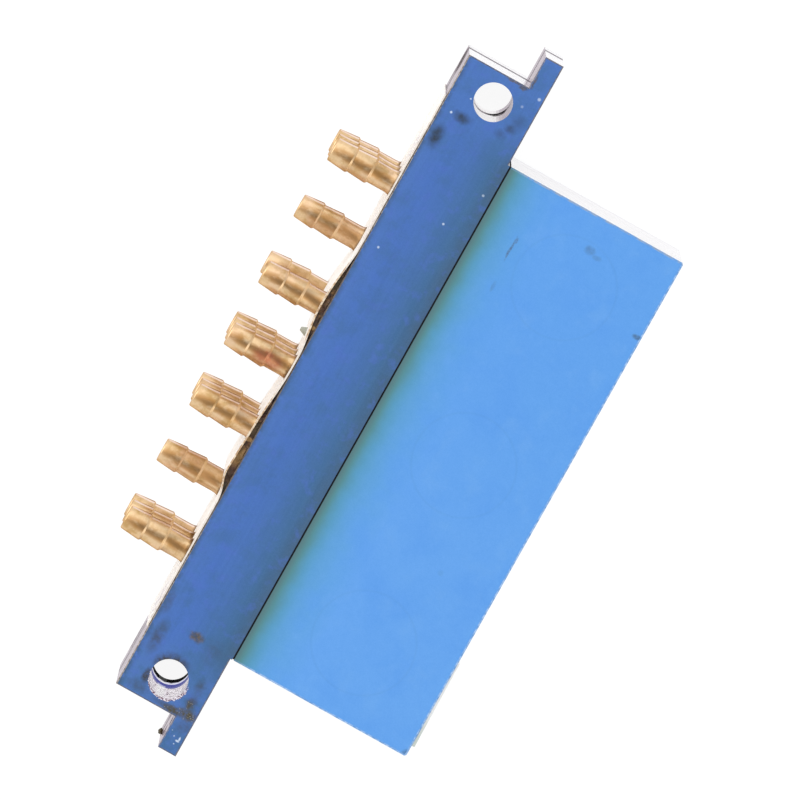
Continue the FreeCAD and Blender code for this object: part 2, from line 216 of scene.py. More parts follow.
# %% Floor
floor_glow = 0.92
seen_matte_share = 0.2
floor_gap = 0.02 * MM
bpy.ops.object.select_all(action="DESELECT")
bpy.ops.mesh.primitive_circle_add(vertices=96, radius=4, fill_type="NGON",
                                  location=(0, 0, cad_box[0][2] - floor_gap))
floor = bpy.context.object
floor.name = "studio_floor"
floor_finish = bpy.data.materials.new("studio_floor_finish")
floor_finish.use_nodes = True
tree = floor_finish.node_tree
tree.nodes.clear()
path, seen = ray_share(tree)
matte = tree.nodes.new("ShaderNodeBsdfDiffuse")
matte.inputs["Color"].default_value = (0.82, 0.82, 0.82, 1)
glow = tree.nodes.new("ShaderNodeEmission")
glow.inputs["Color"].default_value = (1, 1, 1, 1)
glow.inputs["Strength"].default_value = floor_glow / (1 - seen_matte_share)
both = tree.nodes.new("ShaderNodeMixShader")
feed(both.inputs["Fac"], times(seen, 1 - seen_matte_share))
feed(both.inputs[1], matte.outputs[0])
feed(both.inputs[2], glow.outputs[0])
feed(tree.nodes.new("ShaderNodeOutputMaterial").inputs["Surface"], both.outputs[0])
floor.data.materials.append(floor_finish)
print("floor laid")

# %% Lamps
def soft_lamp(name, place, size, watts):
    """A square lamp that points at the middle of the block."""
    bpy.ops.object.light_add(type="AREA", location=place)
    lamp = bpy.context.object
    lamp.name = name
    lamp.data.shape = "SQUARE"
    lamp.data.size = size
    lamp.data.energy = watts
    lamp.visible_camera = False
    lamp.rotation_euler = (look_at - Vector(place)).to_track_quat("-Z", "Y").to_euler()


soft_lamp("lamp_key", (-0.9, 1.1, 1.3), 2.6, 15.6)
soft_lamp("lamp_fill", (1.4, -0.9, 1.2), 1.8, 7.3)
soft_lamp("lamp_side", (-1.7, 0.1, 0.45), 1.5, 12)
bpy.context.scene.view_settings.view_transform = "Standard"
print("three soft lamps")

# %% [markdown]
# ## Finishes
# Every finish is a small set of procedural patterns in millimetres, read from the object's own
# coordinates, so that a scratch stays where it is from every side. The helpers below make what
# all finishes share: a place in millimetres, noise and single marks.

# %% Places and noise
def new_finish(name):
    """An empty material with its shader, and the place of a point in millimetres."""
    finish = bpy.data.materials.new(name)
    finish.use_nodes = True
    tree = finish.node_tree
    tree.nodes.clear()
    shader = tree.nodes.new("ShaderNodeBsdfPrincipled")
    feed(tree.nodes.new("ShaderNodeOutputMaterial").inputs["Surface"], shader.outputs[0])
    scale = tree.nodes.new("ShaderNodeVectorMath")
    scale.operation = "SCALE"
    scale.inputs["Scale"].default_value = 1 / MM
    feed(scale.inputs[0], tree.nodes.new("ShaderNodeTexCoord").outputs["Object"])
    return finish, shader, scale.outputs[0]


def calculate_vector(operation, *values):
    """A step of arithmetic on places, as a node."""
    node = new_node("ShaderNodeVectorMath", *values)
    node.operation = operation
    for socket, value in zip(node.inputs, values):
        feed(socket, value)
    return node


def stretch(place, factors):
    """Squeeze or stretch the space that a pattern lies in."""
    return calculate_vector("MULTIPLY", place, factors).outputs[0]


def noise(place, size):
    node = new_node("ShaderNodeTexNoise", place)
    feed(node.inputs["Vector"], place)
    node.inputs["Scale"].default_value = 1 / size
    return node


def grain(place, size, detail=3, roughness=0.5):
    """Cloudy noise, from 0 to 1, whose lumps are about size millimetres across."""
    node = noise(place, size)
    node.inputs["Detail"].default_value = detail
    node.inputs["Roughness"].default_value = roughness
    return node.outputs["Fac"]


def patches(place, size, low, high, detail=3, roughness=0.5):
    """Patches in such grain: 0 where it is below low, and 1 where it is above high."""
    return fade(grain(place, size, detail, roughness), low, high)


def jitter(place, size, reach):
    """The same place, pushed about by noise, which makes round marks ragged."""
    push = noise(place, size).outputs["Color"]
    pushed = calculate_vector("MULTIPLY_ADD", push, [2 * reach] * 3, place).outputs[0]
    return calculate_vector("SUBTRACT", pushed, [reach] * 3).outputs[0]


print("places and noise ready")

# %% Marks
face_z = 20.5


def mark(place, centre, reach, core=0.35):
    """The share of one oval mark: 1 in its core, and 0 from reach millimetres outwards."""
    away = calculate_vector("SUBTRACT", place, centre).outputs[0]
    scaled = stretch(away, [1 / part for part in reach])
    return fade(calculate_vector("LENGTH", scaled).outputs["Value"], 1, core)


def marks(place, listed, core=0.35):
    """The strongest share of several marks, each (centre, reach, strength)."""
    share = 0
    for centre, reach, strength in listed:
        one = times(mark(place, centre, reach, core), strength)
        share = calculate("MAXIMUM", share, one)
    return share


def face_marks(place, listed, core=0.35):
    """Marks on the upper face, each (x, y, reach along x, reach along y, strength)."""
    return marks(place, [((x, y, face_z), (wide, long, 1), strength)
                         for x, y, wide, long, strength in listed], core)


def broken(place, share, size, least=0.62):
    """The same share with its strength broken up by noise, as rubbed dirt is."""
    worn = patches(place, size, 0.34, 0.62, 4, 0.65)
    return times(share, mix_number(worn, least, 1))


print("marks ready")

# %% Faces, relief and colours along a line
def face_direction(shader):
    """Where the true face looks: its X, its Y, and how upright it is (1 on a face, 0 on a side)."""
    geometry = shader.id_data.nodes.new("ShaderNodeNewGeometry")
    across, along, upright = axes(geometry.outputs["True Normal"])
    return across, along, calculate("ABSOLUTE", upright)


def bump(shader, height, depth):
    """Relief from a 0 to 1 height that stands for depth millimetres."""
    node = new_node("ShaderNodeBump", height)
    node.inputs["Distance"].default_value = depth * MM
    feed(node.inputs["Height"], height)
    feed(shader.inputs["Normal"], node.outputs["Normal"])


def ramp(value, stops):
    """Colours along a value: each stop is (value, colour)."""
    start, end = stops[0][0], stops[-1][0]
    node = new_node("ShaderNodeValToRGB", value)
    feed(node.inputs["Fac"], calculate("DIVIDE", calculate("SUBTRACT", value, start), end - start))
    elements = node.color_ramp.elements
    elements[0].color, elements[1].color = colour(stops[0][1]), colour(stops[-1][1])
    for at, shade in stops[1:-1]:
        elements.new((at - start) / (end - start)).color = colour(shade)
    return node.outputs["Color"]


def dress(shader, shade, roughness, metal=0, tint=None):
    """Feed the shader its colour, roughness, share of metal and the tint of its reflections."""
    feed(shader.inputs["Base Color"], colour(shade))
    feed(shader.inputs["Roughness"], roughness)
    feed(shader.inputs["Metallic"], metal)
    if tint is not None:
        feed(shader.inputs["Specular Tint"], colour(tint))


def plain_finish(name, size, shades, roughness, relief, metal=0, factors=(1, 1, 1), detail=3):
    """Two shades and two roughnesses in soft clouds of one size, with a low relief."""
    finish, shader, place = new_finish(name)
    cloud = grain(stretch(place, factors), size, detail)
    dress(shader, mix(cloud, *shades), mix_number(cloud, *roughness), metal)
    bump(shader, cloud, relief)
    return finish


print("shader helpers ready")

# %% [markdown]
# ## Dark-blue anodised plates
# The bar's face is dyed oxide on aluminium: satin, very finely grained, and a little greener and
# darker towards the joint with the housing, where the darkening is painted shade beside the
# housing.
# Edges are worn to a dirty grey. A painted picture could show it all, but only from one side, so
# noise and marks are laid one over another, as dye, wear and dirt are on the real block. The
# smudges, the rust spot and the pale specks are placed one by one.

# %% Blue dye and painted shade by the housing
def bar_colour_and_housing_shade(place, x, y):
    """Satin blue with painted shade by the housing, blotches, drawn streaks and fine grain, and
    those two patterns.
    """
    # Darker and greener towards x = 5.2 is painted shade beside the housing; past the housing's
    # ends the face keeps its plain blue.
    blue = ramp(x, [
        (-5, (75, 119, 189)), (-2, (67, 113, 194)), (0.8, (64, 111, 178)), (2.2, (60, 107, 160)),
        (3.3, (55, 104, 142)), (4.1, (55, 96, 119)), (4.7, (57, 90, 102)), (5.2, (62, 88, 88)),
    ])
    past_housing = fade(calculate("ABSOLUTE", calculate("ADD", y, 0.6)), 31.5, 36.5)
    shade = mix(past_housing, blue, (72, 118, 192))
    lower_end = fade(y, -24, -40)
    shade = mix(fade(y, -32, -38), shade, (84, 112, 142), 0.22)
    blotches = patches(place, 3.2, 0.42, 0.68, 5, 0.66)
    shade = mix(times(blotches, mix_number(lower_end, 0.46, 0.85)), shade, (54, 102, 136))
    violet = patches(place, 1.7, 0.5, 0.68, 5, 0.66)
    shade = mix(violet, shade, (76, 108, 200), 0.45)
    streaks = grain(stretch(place, (3, 0.12, 1)), 1, 3, 0.55)
    shade = mix(0.16, shade, mix(streaks, (36, 80, 164), (100, 148, 226)))
    fine = grain(place, 0.14, 2, 0.7)
    shade = mix(0.14, shade, mix(fine, (14, 58, 132), (118, 166, 242)))
    return shade, streaks, fine


print("blue dye ready")

# %% Dirt, stains and specks on the face
hole_centre_y = -37.6


def rim_dirt(place):
    """Dirt round the lower mounting hole, most of it on its upper left."""
    ragged = jitter(place, 0.5, 0.25)
    ring = face_marks(ragged, [(0, hole_centre_y, 3.4, 3.4, 1)], 0.6)
    side = face_marks(ragged, [(-1, hole_centre_y + 2.2, 3.2, 2.2, 1)], 0.5)
    left = face_marks(ragged, [(-2.4, hole_centre_y - 0.9, 0.7, 1.3, 0.9)])
    return broken(place, calculate("MAXIMUM", times(ring, side), left), 0.5, 0.55)


def face_dirt(place, rough_place, shade):
    """Smudges, rubbed-in and corner dirt, rust, the dirty rim and pale specks."""
    smudges = broken(place, face_marks(rough_place, [
        (-3.8, 31.1, 1.15, 2.1, 1), (-2.2, 34.3, 1.7, 0.9, 0.9), (3.2, 35.9, 1.1, 0.9, 0.6),
        (2.4, 34.8, 1, 0.9, 0.45), (3.6, 36.9, 1.3, 1.5, 0.35),
    ], 0.05), 0.9, 0.75)
    shade = mix(smudges, shade, (46, 58, 70))
    rubbed_in = broken(place, face_marks(rough_place, [
        (-3.5, -34, 1.2, 3, 0.7), (-4.3, -30, 0.8, 2.4, 0.45), (3.6, -36.8, 0.9, 1.6, 0.6),
        (3.6, -38.9, 1, 1.5, 0.9), (4.1, -41.6, 1.3, 1.2, 0.6), (-2.6, -40, 2, 1, 0.5),
        (1, -40.4, 2.6, 0.7, 0.55), (2.9, -32.5, 1.6, 2.4, 0.35),
    ], 0.05), 0.7, 0.45)
    shade = mix(rubbed_in, shade, (66, 70, 74))
    in_corner = face_marks(rough_place, [
        (2.2, -40.5, 1.9, 0.7, 1), (3.9, -40.2, 1.9, 1, 1), (3.5, -39.2, 0.6, 1.1, 0.8),
    ], 0.2)
    corner_dirt = broken(place, in_corner, 0.35, 0.55)
    shade = mix(corner_dirt, shade, (82, 76, 56))
    grit = times(corner_dirt, patches(place, 0.22, 0.62, 0.7, 2))
    shade = mix(grit, shade, (176, 176, 164))
    stains = broken(place, face_marks(rough_place, [
        (0.5, -31.9, 1.25, 0.8, 0.9), (1, 40.85, 1.4, 0.26, 0.85), (2.2, 40.65, 0.8, 0.36, 0.85),
        (2.95, 41.8, 0.24, 1.1, 0.8),
    ]), 0.3)
    rust = mix(patches(place, 0.35, 0.4, 0.6), (108, 92, 64), (76, 76, 74))
    shade = mix(stains, shade, rust)
    shade = mix(rim_dirt(place), shade, (62, 58, 50))
    specks = face_marks(jitter(place, 0.15, 0.05), [
        (-3.6, 34.3, 0.2, 0.2, 1), (4.4, 40.4, 0.26, 0.26, 0.7), (-2.4, 36.7, 0.14, 0.14, 0.8),
        (3.1, 38.75, 0.22, 0.22, 0.35), (1.84, 22.8, 0.2, 0.2, 0.8), (-3.3, 16.9, 0.2, 0.2, 0.8),
        (4.2, 27.8, 0.2, 0.2, 0.55), (4.3, -43.35, 0.34, 0.17, 1), (4.42, -43.05, 0.16, 0.38, 1),
        (3.7, -43, 0.11, 0.11, 0.8), (4.1, -43.8, 0.12, 0.1, 0.7), (3.2, -42.5, 0.1, 0.1, 0.6),
    ])
    return mix(specks, shade, (206, 222, 244))


print("face dirt ready")

# %% Worn edges
def worn_edges(place, x, y, facing, shade):
    """Grey wear along the edges, soiled by old adhesive where the sheet's bows are."""
    on_edge = fade(facing, 0.98, 0.8)
    wear = patches(place, 0.45, 0.38, 0.58, 4, 0.7)
    edge_shade = mix(wear, (120, 116, 122), (76, 92, 128))
    left_edge = fade(x, -4.6, -4.9)
    soiled = patches(place, 0.4, 0.38, 0.58, 4, 0.7)
    soiled_left = mix(soiled, (90, 80, 72), (158, 150, 144))
    under_bow = fade(calculate("ABSOLUTE", calculate("ADD", y, 1.5)), 19, 16)
    soiled_left = mix(under_bow, soiled_left, (70, 56, 44), 0.7)
    edge_shade = mix(left_edge, edge_shade, soiled_left)
    shade = mix(on_edge, shade, edge_shade)
    beside_edge = times(fade(x, -4.2, -4.9), patches(place, 0.8, 0.32, 0.55, 5, 0.7))
    on_face = fade(facing, 0.98, 0.995)
    return mix(times(beside_edge, on_face), shade, (62, 82, 98), 0.6)


print("worn edges ready")

# %% [markdown]
# ## Cut sides and hole walls
# The plates were cut after dyeing, so their sides and the walls of the mounting holes are bare
# metal. At the picture's flat angle any metal mirrors the sky and turns white, whatever its colour
# is. The shader's Specular Tint colours just that reflection, so the colour of a side is fed there
# too, and dirt and the painted shade deep in the lower hole are made rough, or they would mirror
# the sky as well. Plain grey paint is simpler, but from other sides it wouldn't look like metal.

# %% Bare metal
def bare_side(place, across, along):
    """Cut metal: near white with tool lines, brushed grey, and pinkish where the nipples stand."""
    tooling = grain(stretch(place, (1, 0.25, 5)), 0.5, 3, 0.6)
    cut = mix(fade(tooling, 0.45, 0.8), (255, 254, 254), (250, 243, 247))
    milled = grain(stretch(place, (0.04, 0.04, 4)), 0.7, 4, 0.65)
    brushed = mix(fade(milled, 0.35, 0.7), (226, 224, 228), (196, 192, 198))
    other_side = calculate("MAXIMUM", fade(across, 0.5, 0.9), fade(along, -0.5, -0.9))
    cut = mix(other_side, cut, brushed)
    top_end = mix(fade(milled, 0.35, 0.7), (251, 250, 252), (216, 213, 218))
    cut = mix(fade(along, 0.5, 0.9), cut, top_end)
    lines = patches(stretch(place, (1, 0.03, 1.5)), 0.7, 0.44, 0.66, 4, 0.7)
    dull = mix(lines, (206, 194, 204), (148, 134, 144))
    return mix(fade(across, -0.5, -0.9), cut, dull)


def side_tint(along, on_side, shade):
    """The colour a side mirrors at a grazing angle: its own, but white on the bar's top end."""
    white = (255, 255, 255)
    return mix(on_side, white, mix(fade(along, 0.97, 0.99), shade, white))


print("bare metal ready")

# %% Sides of the plates
hole_reach = (3.2, 3.2, 40)


def plate_side(place, rough_place, z, across, end_facing, shaded_hole_end):
    """Sides and hole walls of one plate, and the share of dirt, dark marks and painted shade, made
    rough.
    """
    bare = bare_side(place, across, end_facing)
    side_dirt = broken(place, marks(rough_place, [
        ((-5, 39.3, 6), (1.5, 2.2, 6.5), 1), ((-5, 37.2, 1.5), (1, 1.4, 1.5), 0.8),
        ((-5, -37, 2), (1, 2.2, 1.6), 0.8), ((2.7, -42, 17), (0.6, 0.7, 2.5), 0.7),
        ((2.7, -43.6, 13.5), (0.6, 0.8, 2), 0.7), ((2.7, -42.6, 6), (0.6, 0.9, 2.5), 0.6),
        ((2.7, -44.6, 9), (0.6, 0.7, 1.6), 0.9),
    ]), 0.4, 0.5)
    bare = mix(side_dirt, bare, (56, 44, 36))
    in_lower_hole = mark(place, (0, hole_centre_y, 10), hole_reach, 0.9)
    if shaded_hole_end:
        ragged_z = calculate("ADD", z, times(grain(place, 0.5), 3.2))
        bare = mix(in_lower_hole, bare, (240, 240, 253))
        # Painted shade deep in the rear plate's lower hole, with a ragged upper edge.
        deep_hole_shade = times(fade(ragged_z, 6, 4.7), in_lower_hole)
        bare = mix(deep_hole_shade, bare, (36, 40, 40))
        soiled = calculate("MAXIMUM", side_dirt, deep_hole_shade)
    else:
        pits = patches(stretch(place, (1, 1, 0.5)), 0.26, 0.53, 0.6, 3, 0.7)
        rough_wall = mix(pits, (255, 251, 255), (118, 62, 106))
        bled_z = calculate("ADD", z, times(grain(place, 0.7), 1.2))
        rough_wall = mix(fade(bled_z, 10.8, 10.4), rough_wall, (70, 80, 186))
        bare = mix(in_lower_hole, bare, rough_wall)
        # A dark arc on the upper hole's wall, where the front plate meets the middle plate.
        upper_hole_dark_arc = broken(place, marks(jitter(place, 0.5, 0.3), [
            ((1.65, 36.05, 8.6), (1.2, 1.1, 2.6), 1), ((-0.9, 35.6, 8.4), (1.3, 0.5, 1.5), 0.7),
        ], 0.6), 0.3, 0.1)
        bare = mix(upper_hole_dark_arc, bare, (34, 28, 28))
        soiled = calculate("MAXIMUM", side_dirt, upper_hole_dark_arc)
    return bare, soiled


print("plate sides ready")

# %% Finish of the blue plates
def blue_plate_finish(name, shaded_hole_end):
    """All layers of one plate. Only the rear plate has painted shade deep in the lower hole."""
    finish, shader, place = new_finish(name)
    x, y, z = axes(place)
    across, along, facing = face_direction(shader)
    rough_place = jitter(jitter(place, 0.6, 0.3), 0.16, 0.07)
    shade, streaks, fine = bar_colour_and_housing_shade(place, x, y)
    shade = face_dirt(place, rough_place, shade)
    shade = worn_edges(place, x, y, facing, shade)

    on_side = fade(facing, 0.6, 0.4)
    in_upper_hole = mark(place, (0, -hole_centre_y, 10), hole_reach, 0.9)
    end_facing = times(along, calculate("SUBTRACT", 1, in_upper_hole))
    bare, soiled = plate_side(place, rough_place, z, across, end_facing, shaded_hole_end)
    shade = mix(on_side, shade, bare)
    # Painted shade: the plate's sides in the joint with the housing are painted near black.
    joint_side_shade = times(fade(x, 4.94, 5.02), fade(calculate("ABSOLUTE", y), 32.7, 32.5))
    shade = mix(times(joint_side_shade, on_side), shade, (40, 40, 42))
    if not shaded_hole_end:
        ring_place = jitter(jitter(place, 0.5, 0.14), 0.14, 0.16)
        lip = mark(ring_place, (0.12, hole_centre_y - 0.14, face_z), (2.42, 2.42, 6), 0.97)
        lip = times(lip, fade(y, hole_centre_y + 0.6, hole_centre_y - 0.6))
        lip = times(lip, fade(facing, 0.4, 0.6))
        chips = patches(place, 0.16, 0.46, 0.54, 2)
        chipped = mix(chips, (246, 240, 248), (112, 74, 96))
        shade = mix(lip, shade, chipped)

    side_roughness = mix_number(soiled, 0.18, 0.75)
    dress(shader, shade, mix_number(on_side, 0.5, side_roughness), mix_number(on_side, 0.25, 0.9),
          side_tint(end_facing, on_side, shade))
    bump(shader, calculate("ADD", fine, times(streaks, 0.5)), 0.005)
    return finish


front_finish = blue_plate_finish("blue_anodised_front", False)
rear_finish = blue_plate_finish("blue_anodised_rear", True)
print("blue plates: two finishes")

# %% [markdown]
# ## The thin middle plate
# A thin plate lies between the front and the rear one, and only its edges show: a grey line on the
# bar's sides, a deep blue ring in the lower mounting hole and a ring with a dark arc in the upper
# hole. The distance from the nearer hole's axis tells a ring from an outer side, so that one finish
# serves for all, and no face has to be picked by hand.

# %% Finish of the middle plate
middle_finish, shader, place = new_finish("dark_blue_anodised")
cloud = grain(place, 0.8)
x, y, _ = axes(place)
from_end = calculate("ADD", calculate("ABSOLUTE", y), hole_centre_y)
from_axis = calculate("SQRT", calculate("ADD", times(x, x), times(from_end, from_end)))
in_hole = fade(from_axis, 2.8, 2.5)
in_lower_hole = times(in_hole, fade(y, 10, -10))
# A dark arc on the upper ring, next to the dark arc on the front plate's hole wall.
middle_dark_arc = marks(jitter(place, 0.5, 0.25), [((1.6, -hole_centre_y - 1.6, 7), (2.1, 1.5, 4), 1)])
middle_dark_arc = broken(place, middle_dark_arc, 0.4, 0.6)
upper_ring = mix(patches(place, 0.3, 0.5, 0.6, 2), (206, 196, 204), (70, 56, 60))
upper_ring = mix(middle_dark_arc, upper_ring, (28, 24, 24))
shade = mix(in_hole, mix(cloud, (158, 150, 158), (132, 124, 134)), upper_ring)
end_dirt = marks(jitter(place, 0.5, 0.3), [((-5, 39.3, 7), (1.5, 2, 5), 0.9)])
shade = mix(end_dirt, shade, (56, 44, 36))
shade = mix(in_lower_hole, shade, mix(cloud, (60, 70, 184), (84, 96, 210)))
roughness = mix_number(times(middle_dark_arc, in_hole), mix_number(cloud, 0.22, 0.34), 0.8)
dress(shader, shade, roughness, 0.85, shade)
bump(shader, grain(place, 0.15, 2), 0.005)
print("middle plate finish made")

# %% [markdown]
# ## Light-blue housing
# The same dyed finish, much lighter, and darker and greener over the first few millimetres beside
# the joint, as the bar is on its side of the joint. A ramp of colours along X gives this, and noise
# pushes it about so that it has no straight edge. A short dark scratch, a faint stain and a smudged
# corner lie on it. A faint hairline round each plug is all that shows of the valve cells.

# %% Dye of the housing and its plugs
light_finish, shader, place = new_finish("light_blue_anodised")
x, y, _ = axes(place)
across, along, facing = face_direction(shader)
uneven = times(calculate("SUBTRACT", grain(place, 2.5), 0.5), 1.6)
# Darker and greener towards x = 5.2, beside the joint, as the bar is on its side of it.
shade = ramp(calculate("ADD", x, times(uneven, fade(x, 5.6, 7))), [
    (5.2, (80, 110, 104)), (5.7, (84, 124, 118)), (6.15, (81, 140, 139)), (6.7, (82, 149, 168)),
    (7.3, (80, 155, 188)), (8.4, (85, 161, 212)), (10.1, (90, 165, 231)), (13, (98, 168, 247)),
])
away = fade(x, 7, 12)
upper_half = times(away, fade(y, -12, 14))
shade = mix(upper_half, shade, (70, 154, 240), 0.28)
clouds = patches(place, 5, 0.4, 0.7, 4, 0.55)
shade = mix(times(clouds, away), shade, (82, 156, 244), 0.62)
pale = patches(stretch(place, (1, 0.8, 1)), 3.4, 0.5, 0.72, 4, 0.6)
shade = mix(times(pale, away), shade, (112, 176, 246), 0.5)
mottle = grain(place, 0.9, 4, 0.7)
off_joint = fade(x, 5.8, 9)
mottled = mix(mottle, (60, 134, 220), (130, 192, 255))
shade = mix(mix_number(off_joint, 0.03, 0.2), shade, mottled)
fine = grain(place, 0.15, 2, 0.7)
speckled = mix(fine, (56, 122, 212), (136, 202, 255))
shade = mix(mix_number(off_joint, 0.06, 0.22), shade, speckled)
for plug_y in (23.2, 0, -23.2):
    outside = mark(place, (17.3, plug_y, face_z), (6.25, 6.25, 40), 0.95)
    inside = mark(place, (17.3, plug_y, face_z), (6.05, 6.05, 40), 0.95)
    hairline = times(calculate("SUBTRACT", outside, inside), 0.1)
    shade = mix(hairline, shade, (66, 118, 190))
print("housing dyed")

# %% Marks, edges and sides of the housing
rough_place = jitter(place, 0.45, 0.12)
scratch = broken(place, face_marks(jitter(place, 0.8, 0.07), [
    (9.87, 24.1, 0.17, 2, 0.75), (9.83, 23.6, 0.2, 0.9, 0.75), (10, 25.2, 0.24, 0.5, 0.6),
]), 0.25, 0.3)
shade = mix(scratch, shade, (84, 98, 128))
faint = broken(place, face_marks(rough_place, [
    (17.8, 28.3, 0.9, 0.7, 0.45), (18.9, 27.9, 0.8, 0.4, 0.3), (27.3, 22.3, 0.8, 0.4, 0.8),
    (27.7, -31.9, 0.8, 0.7, 0.8), (21, -12, 0.5, 0.5, 0.12), (10.2, 19.4, 0.3, 0.9, 0.25),
]), 0.35)
shade = mix(faint, shade, (74, 104, 134))
on_edge = fade(facing, 0.98, 0.8)
pale_edge = mix(fade(y, 31.8, 32.1), (170, 204, 246), (146, 166, 194))
edge_shade = mix(patches(place, 0.6, 0.4, 0.6, 4, 0.7), pale_edge, (100, 158, 222))
shade = mix(times(on_edge, mix_number(off_joint, 0.3, 1)), shade, edge_shade)
on_side = fade(facing, 0.6, 0.4)
shade = mix(on_side, shade, bare_side(place, across, along))
dress(shader, shade, mix_number(on_side, 0.48, 0.2), mix_number(on_side, 0.2, 0.9),
      side_tint(along, on_side, shade))
bump(shader, fine, 0.004)
print("housing finish made")

# %% [markdown]
# ## Turned brass
# Brass from a lathe has fine rings round its axis and a warm brown tarnish in the corners of the
# barbs. The axis lies along X, so the rings are noise squeezed along X. The way each face looks
# places painted light on it: a painted dark reflection on top, a painted highlight on the upper
# flank and a painted dark reflection along both edges. Painted shade darkens the root. Stripes at
# fixed places would slip off the rounded shape.

# %% Finish of the nipples
brass_finish, shader, place = new_finish("turned_brass")
x = axes(place)[0]
rings = grain(stretch(place, (6, 0.25, 0.25)), 0.6, 3, 0.6)
tarnish = patches(jitter(place, 1.2, 0.4), 1.6, 0.4, 0.74, 4, 0.62)
shade = mix(tarnish, (230, 199, 157), (197, 160, 106))
shade = mix(fade(rings, 0.45, 0.65), shade, (200, 158, 110), 0.15)
rosy = patches(place, 2.6, 0.52, 0.66)
shade = mix(rosy, shade, (236, 200, 178), 0.24)
geometry = new_node("ShaderNodeNewGeometry", place)
_, flank, upward = axes(geometry.outputs["Normal"])
# Painted dark reflection along the top of each nipple, broken up by patches.
top_dark_reflection = patches(stretch(place, (0.5, 1, 1)), 1.1, 0.3, 0.52, 4, 0.6)
top_dark_reflection = times(fade(upward, 0.86, 0.985), top_dark_reflection)
shade = mix(top_dark_reflection, shade, (182, 130, 72), 0.75)
# Painted highlight along the upper flank of each nipple.
grime_and_glint = times(fade(flank, 0.84, 0.9), fade(flank, 0.975, 0.95))
shade = mix(grime_and_glint, shade, (255, 238, 230), 0.85)
# Painted dark reflection along both edges of each nipple.
edge_dark_reflection = fade(calculate("ABSOLUTE", flank), 0.955, 0.99)
shade = mix(edge_dark_reflection, shade, (150, 112, 84), 0.75)
reddish = marks(jitter(place, 0.8, 0.3), [((-8, -0.4, 19.6), (2.6, 1.4, 1.8), 0.9)])
shade = mix(broken(place, reddish, 0.7), shade, (186, 112, 84))
# Painted shade at the root, where the nipple meets the sheet.
root_shade = fade(calculate("ADD", x, times(tarnish, 0.4)), -5.5, -5.1)
shade = mix(root_shade, shade, (96, 66, 40), 0.8)
dress(shader, shade, mix_number(tarnish, 0.32, 0.42), 1, (214, 184, 160))
bump(shader, calculate("ADD", rings, tarnish), 0.004)
print("brass finish made")

# %% [markdown]
# ## Model one hose nipple
# The real nipple is turned from bar, so it is modelled as a lathe works: a ring is extruded step
# by step along the axis and resized at each step, through the spigot, the flared root, the stem
# and two barbs, then back inside through the bore. Spin would do too, but steps keep each radius
# readable. One nipple is modelled and copied for the others.

# %% Nipple profile
bar_face_x = -5
spigot_length, spigot_radius = 4, 1.4
flange_radius, stem_radius, crest_radius, barb_root_radius = 1.55, 1.42, 1.66, 1.48
bore_radius = 0.8
second_crest, first_crest, tip = 3.2, 5.7, 8.2
nipple_steps = [
    (-spigot_length, spigot_radius), (0, spigot_radius), (0, flange_radius), (0.22, flange_radius),
    (0.32, flange_radius - 0.03), (0.55, stem_radius + 0.03), (0.95, stem_radius),
    (2.95, stem_radius), (3.02, stem_radius + 0.03), (second_crest - 0.02, crest_radius - 0.05),
    (second_crest + 0.06, crest_radius), (first_crest - 0.22, barb_root_radius + 0.01),
    (first_crest - 0.16, barb_root_radius), (first_crest - 0.02, crest_radius - 0.05),
    (first_crest + 0.06, crest_radius), (tip - 0.12, stem_radius + 0.02),
    (tip - 0.04, stem_radius - 0.03), (tip, stem_radius - 0.1), (tip, bore_radius + 0.1),
    (tip - 0.1, bore_radius), (-spigot_length, bore_radius),
]
print(f"nipple profile of {len(nipple_steps)} steps")

# %% Modelling helpers
def deselect():
    bpy.ops.object.select_all(action="DESELECT")


def metres(point):
    return [part * MM for part in point]


def settle(name):
    """Name the piece just added, and move its place and turn into its points."""
    bpy.context.object.name = name
    bpy.ops.object.transform_apply(location=True, rotation=True, scale=True)
    return bpy.context.object


def edit_all():
    """Open the piece in edit mode, with all of it selected."""
    bpy.ops.object.mode_set(mode="EDIT")
    bpy.ops.mesh.select_all(action="SELECT")


def start_ring(name, vertices, radius, centre, fill="NOTHING"):
    """A circle that looks along X, open in edit mode."""
    deselect()
    bpy.ops.mesh.primitive_circle_add(vertices=vertices, radius=radius * MM, fill_type=fill,
                                      location=metres(centre), rotation=(0, math.radians(90), 0))
    ring = settle(name)
    edit_all()
    return ring


def close_mesh():
    """Merge doubled points, turn every face outwards and leave edit mode."""
    bpy.ops.mesh.select_all(action="SELECT")
    bpy.ops.mesh.remove_doubles(threshold=0.0005 * MM)
    bpy.ops.mesh.normals_make_consistent(inside=False)
    bpy.ops.object.mode_set(mode="OBJECT")


def smooth(degrees):
    """Shade the active piece smooth, but for edges sharper than this."""
    bpy.ops.object.shade_smooth_by_angle(angle=math.radians(degrees))


def apply_modifier(piece, kind, **settings):
    """Add one modifier, set it, and make it part of the mesh."""
    modifier = piece.modifiers.new(kind.lower(), kind)
    for name, value in settings.items():
        setattr(modifier, name, value)
    bpy.context.view_layer.objects.active = piece
    bpy.ops.object.modifier_apply(modifier=modifier.name)


print("modelling helpers ready")

